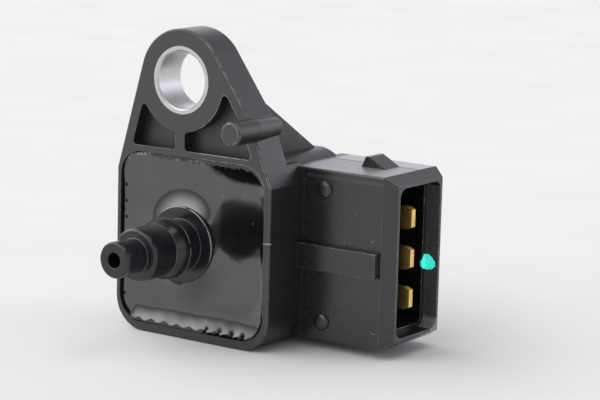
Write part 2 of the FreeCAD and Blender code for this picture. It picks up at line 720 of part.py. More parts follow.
def make_pressure_port(s):
    """Nozzle, boss, cover plate and inner collar, one moulding with the air bore through it."""
    body = new_body("pressure_port", s.nozzle_shift, 0, -s.nozzle_drop)
    sketch = new_sketch(body, "XZ_Plane", "cover", -s.cover_front)
    left, right, bottom, top, corner = recess_limits(s, s.cover_gap)
    draw_rounded_rectangle(sketch, left - s.nozzle_shift, right - s.nozzle_shift,
                           bottom + s.nozzle_drop, top + s.nozzle_drop, corner)
    draw_circle(sketch, 0, 0, s.air_bore_radius)
    extrude(body, "Pad", sketch, s.cover_thickness, backwards=True)
    sketch = new_sketch(body, "XY_Plane", "nozzle")
    draw_outline(sketch, nozzle_section(s))
    revolve(body, "Revolution", sketch)
    add_teeth(s, body, "Pad", backwards=False)
    return body


def make_potting(s):
    """Compound that fills the recess in front of the cover and climbs the nozzle's boss."""
    body = new_body("potting", s.nozzle_shift, 0, -s.nozzle_drop)
    sketch = new_sketch(body, "XZ_Plane", "fill", -s.potting_level)
    left, right, bottom, top, corner = recess_limits(s)
    draw_rounded_rectangle(sketch, left - s.nozzle_shift, right - s.nozzle_shift,
                           bottom + s.nozzle_drop, top + s.nozzle_drop, corner)
    draw_circle(sketch, 0, 0, s.boss_radius)
    extrude(body, "Pad", sketch, s.cover_front - s.potting_level, backwards=True)
    sketch = new_sketch(body, "XY_Plane", "meniscus")
    run, rise = s.meniscus_run, s.meniscus_rise
    outside = s.boss_radius + run
    draw_outline(sketch, [
        (s.boss_radius, s.potting_level - rise),
        (s.boss_radius + run / 3, s.potting_level - rise * 4 / 9),
        (s.boss_radius + run * 2 / 3, s.potting_level - rise / 9),
        (outside, s.potting_level),
        (outside, s.cover_front),
        (s.boss_radius, s.cover_front),
    ])
    revolve(body, "Revolution", sketch)
    add_teeth(s, body, "Pocket", backwards=True)
    return body


def make_terminal(s, name, level):
    """Flat tab, moulded into the wall, with a tail bent forward through the board."""
    body = new_body(f"terminal_{name}", 0, s.connector_depth, s.tab_pitch * level - s.connector_drop)
    half, tip = s.tab_width / 2, s.tab_tip_width / 2
    end = s.connector_reach - s.tab_setback
    shoulder = end - s.tab_tip_length
    root = s.tail_reach - s.tab_thickness / 2
    sketch = new_sketch(body, "XZ_Plane", f"tab_{name}", s.tab_thickness / 2)
    draw_outline(sketch, [
        (root, -half),
        (shoulder, -half),
        (end, -tip),
        (end, tip),
        (shoulder, half),
        (root, half),
    ])
    extrude(body, "Pad", sketch, s.tab_thickness, backwards=True)
    sketch = new_sketch(body, "XZ_Plane", f"tail_{name}")
    draw_rectangle(sketch, root, root + s.tab_thickness, -s.tail_width / 2, s.tail_width / 2)
    extrude(body, "Pad", sketch, s.connector_depth - s.board_front + s.tail_stand)
    return body


def make_board(s):
    """Ceramic board with three holes for the terminals' tails."""
    body = new_body("circuit_board")
    sketch = new_sketch(body, "XZ_Plane", "board", -s.board_front)
    draw_rounded_rectangle(sketch, *recess_limits(s, s.cover_ledge + s.board_gap))
    for level in LEVELS.values():
        draw_circle(sketch, s.tail_reach, s.tab_pitch * level - s.connector_drop, s.tail_hole_radius)
    extrude(body, "Pad", sketch, s.board_thickness, backwards=True)
    return body


def make_adhesive(s):
    """Bead between the board's edge and its ledge."""
    body = new_body("board_adhesive")
    sketch = new_sketch(body, "XZ_Plane", "bead", -s.board_back)
    draw_rounded_rectangle(sketch, *recess_limits(s, s.cover_ledge + s.board_gap))
    draw_rounded_rectangle(sketch, *recess_limits(s, s.cover_ledge + s.board_ledge))
    extrude(body, "Pad", sketch, s.adhesive_thickness, backwards=True)
    return body


def make_seal(s):
    """Rubber ring between the collar and the board."""
    body = new_body("chamber_seal", s.nozzle_shift, 0, -s.nozzle_drop)
    sketch = new_sketch(body, "XZ_Plane", "ring", -s.collar_end)
    draw_circle(sketch, 0, 0, s.collar_radius)
    draw_circle(sketch, 0, 0, s.collar_bore)
    extrude(body, "Pad", sketch, s.seal_thickness, backwards=True)
    return body


def add_block(label, middle_x, middle_z, back, length, depth, height):
    """A box of that length along X, depth along Y and height along Z, with its back face at y = back."""
    block = doc.addObject("Part::Box", label)
    places = (
        ("Length", length), ("Width", depth), ("Height", height),
        ("Placement.Base.x", middle_x - length / 2),
        ("Placement.Base.y", back - depth),
        ("Placement.Base.z", middle_z - height / 2),
    )
    for name, size in places:
        block.setExpression(name, size.text)
    return block


def add_round(kind, label, middle_x, middle_z, back, radii, depth):
    """A cylinder or cone that stands on the plane y = back and points towards the nozzle's end."""
    piece = doc.addObject(kind, label)
    piece.Placement.Rotation = FreeCAD.Rotation(FreeCAD.Vector(1, 0, 0), 90)
    for name, radius in radii.items():
        piece.setExpression(name, radius.text)
    piece.setExpression("Height", depth.text)
    for axis, size in zip("xyz", (middle_x, back, middle_z)):
        piece.setExpression(f"Placement.Base.{axis}", size.text)
    return piece


def combine(kind, label, base, tool):
    piece = doc.addObject(kind, label)
    piece.Base = base
    piece.Tool = tool
    return piece


def make_chip(s):
    """Glass base, silicon chip with its etched pit, and the gel over both."""
    x, z = s.nozzle_shift, -s.nozzle_drop
    chip_back = s.board_front - s.glass_thickness
    base = add_block("chip_base", x, z, s.board_front, s.glass_side, s.glass_thickness, s.glass_side)
    blank = add_block("chip_blank", x, z, chip_back, s.chip_side, s.chip_thickness, s.chip_side)
    pit = add_block("chip_pit", x, z, chip_back, s.pit_side, s.pit_depth, s.pit_side)
    chip = combine("Part::Cut", "pressure_chip", blank, pit)
    drop = add_round("Part::Cylinder", "gel_drop", x, z, s.board_front, {"Radius": s.collar_bore}, s.gel_depth)
    room = add_block("gel_room", x, z, chip_back, s.chip_side, s.chip_thickness, s.chip_side)
    gel = combine("Part::Cut", "chip_gel", combine("Part::Cut", "gel_over_base", drop, base), room)
    return [base, chip, gel]


def make_signal_chip(s):
    return add_block("signal_chip", s.nozzle_shift - s.signal_left, s.signal_up - s.nozzle_drop,
                     s.board_front, s.signal_side, s.signal_thickness, s.signal_side)


def make_capacitor(s, name, level):
    middle = s.tail_reach - s.solder_radius - s.capacitor_gap - s.capacitor_length / 2
    return add_block(f"capacitor_{name}", middle, s.tab_pitch * level - s.connector_drop, s.board_front,
                     s.capacitor_length, s.capacitor_height, s.capacitor_width)


def make_solder(s, name, level):
    """Solder that fills the board's hole around a tail and stands up as a small cone."""
    x, z = s.tail_reach, s.tab_pitch * level - s.connector_drop
    cone_radii = {"Radius1": s.solder_radius, "Radius2": s.tail_hole_radius}
    cone = add_round("Part::Cone", f"solder_cone_{name}", x, z, s.board_front, cone_radii, s.solder_height)
    plug = add_round("Part::Cylinder", f"solder_plug_{name}", x, z, s.board_back,
                     {"Radius": s.tail_hole_radius}, s.board_thickness)
    blob = combine("Part::Fuse", f"solder_blob_{name}", plug, cone)
    tail = add_block(f"solder_slot_{name}", x, z, s.board_seat, s.tab_thickness,
                     s.board_seat - s.board_front + s.tail_stand, s.tail_width)
    return combine("Part::Cut", f"solder_{name}", blob, tail)


def make_pieces(s):
    """Every piece that is handed on, in the order in which the sensor is put together."""
    pieces = [make_housing(s), make_bush(s)]
    pieces += [make_terminal(s, name, level) for name, level in LEVELS.items()]
    pieces += [make_adhesive(s), make_board(s)]
    pieces += make_chip(s)
    pieces += [make_signal_chip(s)]
    pieces += [make_capacitor(s, name, level) for name, level in LEVELS.items()]
    pieces += [make_solder(s, name, level) for name, level in LEVELS.items()]
    pieces += [make_seal(s), make_pressure_port(s), make_potting(s)]
    return pieces


def export(pieces):
    """Checks every object and writes one file for each piece."""
    doc.recompute()
    for item in doc.Objects:
        if "Invalid" in item.State or "Error" in item.State:
            raise RuntimeError(f"{item.Label} did not build: {item.State}")
    os.makedirs("parts", exist_ok=True)
    for piece in pieces:
        shape = piece.Shape
        if shape.isNull() or not shape.isValid() or len(shape.Solids) != 1:
            raise RuntimeError(f"{piece.Label} is not one sound solid")
        shape.exportStep(f"parts/{piece.Label}.step")


derive_sizes(sizes)
export(make_pieces(sizes))
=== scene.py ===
"""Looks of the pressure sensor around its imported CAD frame.

Shapes are worked out in millimetres, in the part's own frame: X out of the connector, Y from the nozzle
to the back, Z up, with the origin on the eye's axis in the seating face. A mesh gets metres.
"""

import json
import math

import bmesh
import bpy
import numpy as np
from mathutils import Matrix


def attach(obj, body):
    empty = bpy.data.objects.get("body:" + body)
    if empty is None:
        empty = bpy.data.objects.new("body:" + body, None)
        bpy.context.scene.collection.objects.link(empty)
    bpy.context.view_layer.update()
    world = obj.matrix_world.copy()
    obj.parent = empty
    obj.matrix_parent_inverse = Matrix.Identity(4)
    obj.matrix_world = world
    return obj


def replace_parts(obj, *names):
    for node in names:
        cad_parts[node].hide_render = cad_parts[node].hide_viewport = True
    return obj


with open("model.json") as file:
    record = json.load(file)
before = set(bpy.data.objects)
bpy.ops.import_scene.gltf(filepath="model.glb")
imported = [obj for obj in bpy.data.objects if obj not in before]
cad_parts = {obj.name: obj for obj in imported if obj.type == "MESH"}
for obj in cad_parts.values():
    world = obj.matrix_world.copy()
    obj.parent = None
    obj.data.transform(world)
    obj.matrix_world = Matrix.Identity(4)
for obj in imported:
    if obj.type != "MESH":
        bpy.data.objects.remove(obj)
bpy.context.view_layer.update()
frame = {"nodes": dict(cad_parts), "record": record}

MM = 0.001

# The potted recess and the nozzle in it, in millimetres
RECESS_LOW = np.array([-9.25, -31.2])
RECESS_HIGH = np.array([13.0, -9.45])
RECESS_MIDDLE = (RECESS_LOW + RECESS_HIGH) / 2
RECESS_HALF = (RECESS_HIGH - RECESS_LOW) / 2
RECESS_CORNER = 3.2
NOZZLE = np.array([0.65, -20.38])
BARB_FRONT = -5.2
BARB_BACK = -3.1
BOSS_RADIUS = 4.77
BOSS_FRONT = -0.4
COVER_FRONT = 2.8
COVER_BACK = 4.2
COLLAR_END = 8.2
POTTING_LEVEL = 0.7
TOOTH_PITCH = 2.0
TOOTH_PLACE = 1.875
# Places of dots of painted shade on the resin, at the cover's teeth
RESIN_DOTS = ((-8.69, -14.06), (-8.66, -16.11), (-8.62, -18.15), (-8.79, -28.0), (2.6, -9.95),
              (4.61, -10.0))
RESIN_PITS = np.array([(4.45, -30.72), (6.42, -30.72), (8.27, -30.74), (9.96, -30.78)])

# The connector and the floor, in millimetres
TOP_START = 13.0
TOP_LEVEL = -10.3
TOP_EDGE = 6.95
TOP_GROOVE = 14.7
SIDE_START = 14.2
SIDE_FRONT = 6.66
SHOULDER_START = 14.5
SHOULDER_LEVEL = -10.75
STEP_START = 24.6
STEP_END = 26.0
MOUTH_START = 25.3
MOUTH_FAR = 16.9
FLOOR_LEVEL = -32.4


class Signal:
    """A shader socket in an expression: an operator adds one Math node, and node() adds any other."""

    def __init__(self, tree, socket=None):
        self.tree = tree
        self.socket = socket

    def node(self, kind, settings, sockets, output=0):
        """Adds a node, with its settings first and then its sockets' values or links; gives one output."""
        made = self.tree.nodes.new("ShaderNode" + kind)
        for name, value in settings.items():
            setattr(made, name, value)
        for key, value in sockets.items():
            if isinstance(value, Signal):
                self.tree.links.new(value.socket, made.inputs[key])
            else:
                made.inputs[key].default_value = value
        return Signal(self.tree, made.outputs[output])

    def math(self, operation, *terms):
        return self.node("Math", {"operation": operation}, dict(enumerate(terms)))

    def __add__(self, other):
        return self.math("ADD", self, other)

    def __sub__(self, other):
        return self.math("SUBTRACT", self, other)

    def __mul__(self, other):
        return self.math("MULTIPLY", self, other)

    def __truediv__(self, other):
        return self.math("DIVIDE", self, other)

    def __rsub__(self, other):
        return self.math("SUBTRACT", other, self)

    def __gt__(self, other):
        return self.math("GREATER_THAN", self, other)

    def __lt__(self, other):
        return self.math("LESS_THAN", self, other)

    __radd__ = __add__
    __rmul__ = __mul__

    def ramp(self, low, high):
        """Rises from 0 to 1 in a straight line between low and high, or falls where high is the smaller."""
        return self.node("MapRange", {"clamp": True}, {0: self, 1: low, 2: high})

    def absolute(self):
        return self.math("ABSOLUTE", self)

    def cosine(self):
        return self.math("COSINE", self)

    def root(self):
        return self.math("SQRT", self)

    def least(self, other):
        return self.math("MINIMUM", self, other)

    def most(self, other):
        return self.math("MAXIMUM", self, other)

    def part(self, index):
        """One component of a vector."""
        return self.node("SeparateXYZ", {}, {0: self}, output=index)

    def mixed(self, first, second):
        """The first colour where this is 0 and the second where it is 1."""
        return self.node("Mix", {"data_type": "RGBA"}, {0: self, 6: first, 7: second}, output=2)


class Finish:
    """One material: its shader, and the patterns that the finishes share, on the part's own millimetres."""

    def __init__(self, name, **fixed):
        self.material = bpy.data.materials.new(name)
        self.material.use_nodes = True
        self.tree = self.material.node_tree
        self.shader = self.tree.nodes["Principled BSDF"]
        for socket, value in fixed.items():
            self.shader.inputs[socket.replace("_", " ")].default_value = value
        start = Signal(self.tree)
        metres = start.node("TexCoord", {}, {}, output=3)
        self.place = start.node("VectorMath", {"operation": "SCALE"}, {0: metres, 3: 1 / MM})
        self.face = start.node("NewGeometry", {}, {}, output=1)
        self.start = start

    def noise(self, scale, detail=2.0, roughness=0.5):
        """Cloudy values about 0.5, with features 1 / scale millimetres across."""
        sockets = {"Vector": self.place, "Scale": scale, "Detail": detail, "Roughness": roughness}
        return self.start.node("TexNoise", {}, sockets)

    def line_noise(self, along, scale, detail):
        """Cloudy values that change along one length only, so that they form rings or lines."""
        sockets = {"W": along, "Scale": scale, "Detail": detail}
        return self.start.node("TexNoise", {"noise_dimensions": "1D"}, sockets)

    def specks(self, spacing, radius):
        """1 inside small balls scattered through space, 0 elsewhere: on a face they are tiny dots."""
        cells = {"Vector": self.place, "Scale": 1 / spacing, "Randomness": 1.0}
        distance = self.start.node("TexVoronoi", {}, cells)
        return distance.ramp(radius / spacing, 0.7 * radius / spacing)

    def rounded_edges(self, radius, samples=6):
        """The normal of a rounded edge, and a mask of the edges. Inner corners stay sharp and plain."""
        bent = self.start.node("Bevel", {"samples": samples}, {"Radius": radius * MM})
        product = {"operation": "DOT_PRODUCT"}
        agreement = self.start.node("VectorMath", product, {0: bent, 1: self.face}, output=1)
        reach = {"Distance": 2 * radius * MM}
        outer = self.start.node("AmbientOcclusion", {"samples": samples}, reach, output=1).ramp(0.8, 0.97)
        sides = {0: outer, 4: self.face, 5: bent}
        rounded = self.start.node("Mix", {"data_type": "VECTOR"}, sides, output=1)
        return rounded, agreement.ramp(0.995, 0.9) * outer

    def dot_at(self, x, z, radius):
        """1 inside a round dot at (x, z) on a face that looks along Y, fading out at its radius."""
        over, up = self.place.part(0) - x, self.place.part(2) - z
        return (over * over + up * up).ramp(radius * radius, 0.3 * radius * radius)

    def bump(self, height, depth, normal=None):
        """A normal for a relief that is depth millimetres deep."""
        sockets = {"Strength": 1.0, "Distance": depth * MM, "Height": height}
        if normal is not None:
            sockets["Normal"] = normal
        return self.start.node("Bump", {}, sockets)

    def feed(self, **signals):
        """Links signals to the shader's sockets."""
        for socket, signal in signals.items():
            self.tree.links.new(signal.socket, self.shader.inputs[socket.replace("_", " ")])
        return self.material


def grey(level, warm=0.0):
    """A neutral colour, a little warmer or cooler."""
    return (level * (1 + warm), level, level * (1 - warm), 1.0)


def housing_plastic():
    """Satin black, glass-filled: fine grain, cloudy patches, pale lines on the edges that are partly wear
    and partly painted highlight, burrs, dust, and painted light and shade where light falls.
    """
    finish = Finish("housing_plastic", Specular_IOR_Level=0.85)
    clouds = finish.noise(0.16, 3.0)
    grain = finish.noise(5.5, 2.0, 0.7)
    rounded, edge = finish.rounded_edges(0.16)
    across, depth, height = (finish.place.part(i) for i in range(3))
    upward, forward = finish.face.part(2), -1.0 * finish.face.part(1)
    faces_front = forward > 0.9
    # The connector's top is painted lighter, as light falls on it: a grainy field near the viewer, and past
    # a fine groove a smooth paler strip
    top = (upward > 0.9) * (across > TOP_START) * (height > TOP_LEVEL)
    lit_strip = top * (depth > TOP_GROOVE)
    lit_grainy_field = top - lit_strip
    # Painted shade lines in the fine groove and along the top's near edge
    near_edge_shade = depth.ramp(TOP_EDGE, TOP_EDGE - 0.15)
    groove_shade = top * ((depth - TOP_GROOVE).absolute().ramp(0.16, 0.08) + near_edge_shade)
    # A painted highlight along the connector's shoulder, just below its top edge
    shoulder_highlight = (across > SHOULDER_START) * (height - SHOULDER_LEVEL).absolute().ramp(0.35, 0.1)
    shoulder_highlight = shoulder_highlight * faces_front
    # Torn flash shows on the front edge of the eye's right side and round the peg's end
    flash = (depth < 0.2) * (across > 3.0) * (height > -12.0)
    broken = finish.noise(1.3, 2.0)
    burrs = edge * (0.8 * broken.ramp(0.56, 0.72) + flash * broken.ramp(0.4, 0.5))
    # Painted light on the mouth's far wall, and its lower far corner paler
    in_mouth = across > MOUTH_START
    far_wall_light = in_mouth * (depth > MOUTH_FAR) * faces_front
    pale_corner = in_mouth * (depth > MOUTH_FAR - 1.0) * height.ramp(-28.4, -29.0) * (height > -31.2)
    # Painted light: the seating face paler towards the top, and a painted highlight on the eye's crown
    seat_light = faces_front * (depth < 0.5) * height.ramp(-33.0, -23.0)
    crown_highlight = upward.ramp(0.88, 0.99) * (height > 5.0)
    # The connector's side is smoother, and the pale edge lines on the step inside its mouth fainter
    smooth_side = (across > SIDE_START) * (upward < 0.5)
    mouth_step = (across > STEP_START) * (across < STEP_END) * (depth > 7.5) * (height < -10.5)
    edge = edge * (1.0 - 0.75 * mouth_step)
    dust = finish.specks(1.5, 0.075)
    shade = 0.002 + 0.003 * clouds + 0.005 * grain + 0.07 * far_wall_light + 0.02 * shoulder_highlight + 0.013 * seat_light
    shade = shade + 0.29 * lit_strip + lit_grainy_field * (0.115 + 0.14 * grain.ramp(0.4, 0.7)) + 0.4 * pale_corner * grain
    shade = shade + 0.12 * crown_highlight * grain.ramp(0.35, 0.7)
    colour = shade.node("CombineColor", {}, {0: shade * 0.97, 1: shade * 0.99, 2: shade * 1.04})
    # Pale edge lines: partly wear, partly a painted highlight on the rounded edges
    colour = (0.55 * edge).mixed(colour, grey(0.16, -0.03))
    colour = burrs.mixed(colour, grey(0.42, -0.02))
    colour = (0.9 * groove_shade).mixed(colour, grey(0.004))
    colour = dust.mixed(colour, grey(0.34))
    roughness = 0.3 + 0.12 * grain + 0.08 * clouds + 0.5 * groove_shade - 0.13 * smooth_side
    relief = finish.bump(grain * (1.0 - 0.6 * smooth_side), 0.012, rounded)
    return finish.feed(Base_Color=colour, Roughness=roughness, Normal=relief)


def port_plastic():
    """Smooth black plastic, a little bluish: painted highlight rings on the nozzle's edges, faint turning
    rings, dust.
    """
    finish = Finish("port_plastic", Specular_IOR_Level=0.6)
    clouds = finish.noise(0.35, 3.0)
    across, depth, height = (finish.place.part(i) for i in range(3))
    over, up = across - float(NOZZLE[0]), height - float(NOZZLE[1])
    radius = (over * over + up * up).root()
    patchy = finish.noise(0.9, 2.0)
    # Painted highlights: pale rings on the barb's back and front edges and on the upper part of the boss's
    # edge
    barb_back_highlight = (depth - BARB_BACK).absolute().ramp(0.2, 0.08) * (radius > 3.66) * over.ramp(1.2, 3.0)
    barb_front_highlight = 0.3 * (depth - BARB_FRONT).absolute().ramp(0.08, 0.03)
    boss_edge_highlight = 0.8 * (radius - BOSS_RADIUS).absolute().ramp(0.1, 0.03)
    boss_edge_highlight = boss_edge_highlight * (depth < -0.2) * up.ramp(-2.0, 0.6)
    lines = (barb_back_highlight + barb_front_highlight + boss_edge_highlight) * patchy.ramp(0.3, 0.5)
    rings = finish.line_noise(depth, 7.0, 2.0)
    dust = finish.specks(1.9, 0.06)
    shade = 0.006 + 0.006 * clouds
    colour = shade.node("CombineColor", {}, {0: shade * 0.85, 1: shade, 2: shade * 1.3})
    colour = lines.mixed(colour, grey(0.42))
    colour = dust.mixed(colour, grey(0.3))
    roughness = 0.17 + 0.1 * clouds + 0.05 * rings
    relief = finish.bump(rings + finish.noise(6.0), 0.004)
    return finish.feed(Base_Color=colour, Roughness=roughness, Normal=relief)


def potting_compound():
    """Glossy black resin: a clear skin over black, broken by pits, dust, dark dots of painted shade, two
    painted dark reflections, and a ragged rim of painted shade that is crusted along the top."""
    finish = Finish("potting_compound", Specular_IOR_Level=0.0, Coat_IOR=2.0, Coat_Roughness=0.1)
    across, height = finish.place.part(0), finish.place.part(2)
    # Distance in from the recess's wall, as wall_distance gives it
    half = RECESS_HALF - RECESS_CORNER
    beside = (across - float(RECESS_MIDDLE[0])).absolute() - float(half[0])
    above = (height - float(RECESS_MIDDLE[1])).absolute() - float(half[1])
    out_x, out_z = beside.most(0.0), above.most(0.0)
    from_wall = RECESS_CORNER - (out_x * out_x + out_z * out_z).root() - beside.most(above).least(0.0)
    ragged = finish.noise(0.9, 3.0)
    clouds = finish.noise(0.3, 3.0)
    # Painted shade along the recess's wall, where the resin meets it
    rim = (from_wall + 0.9 * ragged).ramp(0.8, 0.55)
    # Along the lower wall the painted shade at the edge is scalloped, one scallop to each tooth of the cover
    from_floor = height - float(RECESS_LOW[1])
    wave = ((across - TOOTH_PLACE) * (2 * math.pi / TOOTH_PITCH)).cosine()
    scallop_shade = (from_floor - 0.14 * wave + 0.3 * ragged).ramp(0.62, 0.46)
    rim = rim.most(scallop_shade)
    # Dots of painted shade at the cover's teeth and in the pits at the lower right
    dark_places = [*RESIN_DOTS, *((x, z + 0.1) for x, z in RESIN_PITS.tolist())]
    dots = sum(finish.dot_at(x, z, 0.26) for x, z in dark_places)
    # Painted dark reflections: one at the upper right and one beside the nozzle (sunk), from their middles
    # and half sizes
    over, up = (across - 10.0) / 6.0, (height + 9.3) / 2.6
    upper_dark_reflection = (over * over + up * up + 0.5 * ragged).ramp(1.4, 1.05)
    over, up = (across - 9.4) / 3.6, (height + 17.35) / 3.5
    sunk = (over * over * over * over + up * up * up * up + 0.3 * ragged).ramp(1.4, 0.8)
    # Crust and loose crumbs along the top edge
    crumbled = finish.noise(1.9, 3.0)
    crust = (from_wall + 1.3 * crumbled).ramp(1.35, 1.15)
    crust = crust * height.ramp(-12.2, -11.4) * across.ramp(-5.6, -4.2)
    crumbs = (from_wall + 0.6 * ragged).ramp(1.0, 0.7) * finish.specks(0.75, 0.3)
    crumbs = crumbs * height.ramp(-11.2, -10.4) * (across < 3.6)
    pits = finish.specks(3.1, 0.16)
    dust = finish.specks(1.8, 0.07)
    shade = 0.002 + 0.004 * clouds
    shade = shade + crust * (0.03 + 0.11 * crumbled)
    colour = shade.node("CombineColor", {}, {0: shade, 1: shade, 2: shade * (1.05 - 0.1 * crust)})
    colour = dust.mixed(colour, grey(0.32))
    colour = crumbs.mixed(colour, grey(0.2))
    # The clear skin is taken off where shade and dark reflections are painted
    skin = (1.0 - 0.8 * rim) * (1.0 - 0.8 * pits) * (1.0 - 0.97 * upper_dark_reflection) * (1.0 - 0.95 * dots)
    skin = skin * (1.0 - 0.6 * sunk) * (1.0 - crust) * (0.9 + 0.2 * clouds)
    roughness = 0.3 + 0.2 * clouds + 0.25 * crumbs
    relief = finish.bump(clouds, 0.02)
    return finish.feed(Base_Color=colour, Roughness=roughness, Coat_Weight=skin, Normal=relief)


def bush_metal():
    """Bright turned metal: fine rings along the bore and around the end faces, with soft dull streaks."""
    finish = Finish("bush_metal", Metallic=1.0)
    across, depth, height = (finish.place.part(i) for i in range(3))
    radius = (across * across + height * height).root()
    rings = finish.line_noise(depth + radius * 1.7, 9.0, 3.0)
    streaks = finish.noise(0.8, 3.0)
    shade = 0.5 + 0.14 * streaks + 0.06 * rings
    colour = shade.node("CombineColor", {}, {0: shade, 1: shade, 2: shade})
    roughness = 0.26 + 0.12 * streaks + 0.06 * rings
    relief = finish.bump(rings, 0.008)
    return finish.feed(Base_Color=colour, Roughness=roughness, Normal=relief)


def terminal_gold():
    """Gold plate over brass: fine drawing lines along the tab, darker patches, painted shade deep in the
    mouth.
    """
    finish = Finish("terminal_gold", Metallic=0.85)
    stretch = {0: finish.place, 1: (0.4, 9.0, 9.0)}
    stretched = finish.start.node("VectorMath", {"operation": "MULTIPLY"}, stretch)
    lines = finish.start.node("TexNoise", {}, {"Vector": stretched, "Scale": 1.0, "Detail": 3.0})
    patches = finish.noise(1.1, 2.0)
    colour = patches.ramp(0.35, 0.7).mixed((0.84, 0.53, 0.14, 1.0), (0.95, 0.7, 0.26, 1.0))
    # Painted shade: darker deeper in the mouth
    deep_shade = finish.place.part(0).ramp(26.1, 24.3)
    colour = deep_shade.mixed(colour, (0.12, 0.06, 0.02, 1.0))
    roughness = 0.36 + 0.14 * lines + 0.06 * patches
    rounded = finish.rounded_edges(0.12)[0]
    relief = finish.bump(lines, 0.006, rounded)
    return finish.feed(Base_Color=colour, Roughness=roughness, Normal=relief)


def plain_finish(name, dark, light, scale, roughness, depth=0.004, **fixed):
    """A sealed piece or a small mark: two close colours in patches, and a matching relief."""
    finish = Finish(name, **fixed)
    patches = finish.noise(scale, 3.0, 0.6)
    colour = patches.ramp(0.35, 0.65).mixed((*dark, 1.0), (*light, 1.0))
    gloss = roughness + 0.12 * patches
    return finish.feed(Base_Color=colour, Roughness=gloss, Normal=finish.bump(patches, depth))


def glowing_paint():
    """Marking paint with a painted glow: it gives back a little more light than falls on it, so it looks lit
    in the shaded mouth.
    """
    finish = Finish("paint_mark", Emission_Strength=0.6)
    patches = finish.noise(3.0, 3.0, 0.6)
    colour = patches.ramp(0.35, 0.65).mixed((0.04, 0.72, 0.6, 1.0), (0.06, 0.82, 0.7, 1.0))
    roughness = 0.3 + 0.12 * patches
    relief = finish.bump(patches, 0.01)
    return finish.feed(Base_Color=colour, Emission_Color=colour, Roughness=roughness, Normal=relief)


def make_finishes():
    """One material for each slot."""
    return {
        "housing_plastic": housing_plastic(),
        "port_plastic": port_plastic(),
        "potting_compound": potting_compound(),
        "bush_metal": bush_metal(),
        "terminal_gold": terminal_gold(),
        "board_ceramic": plain_finish("board_ceramic", (0.72, 0.71, 0.66), (0.82, 0.81, 0.77), 2.0, 0.45),
        "grey_silicone": plain_finish("grey_silicone", (0.26, 0.26, 0.27), (0.36, 0.36, 0.37), 1.5, 0.5),
        "base_glass": plain_finish("base_glass", (0.62, 0.68, 0.66), (0.74, 0.79, 0.77), 3.0, 0.12),
        "silicon": plain_finish("silicon", (0.25, 0.26, 0.3), (0.36, 0.37, 0.42), 4.0, 0.1, Metallic=1.0),
        "clear_gel": plain_finish("clear_gel", (0.66, 0.68, 0.64), (0.78, 0.8, 0.77), 0.8, 0.08),
        "seal_rubber": plain_finish("seal_rubber", (0.02, 0.02, 0.02), (0.04, 0.04, 0.04), 4.0, 0.65),
        "chip_plastic": plain_finish("chip_plastic", (0.018, 0.018, 0.02), (0.035, 0.035, 0.037), 5.0,
                                     0.55),
        "capacitor_ceramic": plain_finish("capacitor_ceramic", (0.42, 0.31, 0.2), (0.56, 0.43, 0.29), 3.0,
                                          0.4),
        "solder": plain_finish("solder", (0.56, 0.56, 0.57), (0.74, 0.74, 0.75), 2.5, 0.22, Metallic=1.0),
        "paint_mark": glowing_paint(),
    }


def add_piece(name, points, faces, material, sharp_degrees=40.0):
    """A mesh piece from points in millimetres and quads: doubles merged, normals out, smooth but for sharp
    edges."""
    mesh = bpy.data.meshes.new(name)
    mesh.from_pydata((points.reshape(-1, 3) * MM).tolist(), [], faces.tolist())
    shaped = bmesh.new()
    shaped.from_mesh(mesh)
    bmesh.ops.remove_doubles(shaped, verts=shaped.verts, dist=1e-8)
    bmesh.ops.dissolve_degenerate(shaped, edges=shaped.edges, dist=1e-8)
    bmesh.ops.recalc_face_normals(shaped, faces=shaped.faces)
    shaped.to_mesh(mesh)
    shaped.free()
    mesh.polygons.foreach_set("use_smooth", np.ones(len(mesh.polygons), bool))
    mesh.set_sharp_from_angle(angle=math.radians(sharp_degrees))
    mesh.materials.append(material)
    piece = bpy.data.objects.new(name, mesh)
    bpy.context.scene.collection.objects.link(piece)
    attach(piece, "root")
    return piece


def full_turn(count):
    """Evenly spaced angles around a circle, without the last, which is the first again."""
    return np.linspace(0, 2 * math.pi, count, endpoint=False)


def grid_faces(rows, columns, wrap_rows=False):
    """Quads of a grid of points whose columns always close into a ring, and whose rows may."""
    row = np.arange(rows if wrap_rows else rows - 1)[:, None]
    column = np.arange(columns)[None, :]
    here, below = row * columns, (row + 1) % rows * columns
    after = (column + 1) % columns
    corners = (here + column, here + after, below + after, below + column)
    return np.stack(np.broadcast_arrays(*corners), axis=-1).reshape(-1, 4)


def recess_outline(count):
    """Evenly spaced points around the recess: quarter circles about the corners' centres, with straights
    between them."""
    turn = np.linspace(0, math.pi / 2, 25)
    low, high = RECESS_LOW + RECESS_CORNER, RECESS_HIGH - RECESS_CORNER
    centres = ((high[0], high[1]), (low[0], high[1]), (low[0], low[1]), (high[0], low[1]))
    arcs = [np.stack([x + RECESS_CORNER * np.cos(turn + i * math.pi / 2),
                      z + RECESS_CORNER * np.sin(turn + i * math.pi / 2)], axis=1)
            for i, (x, z) in enumerate(centres)]
    corners = np.concatenate([*arcs, arcs[0][:1]])
    run = np.concatenate([[0.0], np.cumsum(np.linalg.norm(np.diff(corners, axis=0), axis=1))])
    steps = np.arange(count) / count * run[-1]
    return np.stack([np.interp(steps, run, corners[:, i]) for i in range(2)], axis=1)


def boss_circle(outer):
    """The points of the boss's circle that lie on the lines from its middle to the outer points."""
    away = outer - NOZZLE
    return NOZZLE + BOSS_RADIUS * away / np.linalg.norm(away, axis=1, keepdims=True)


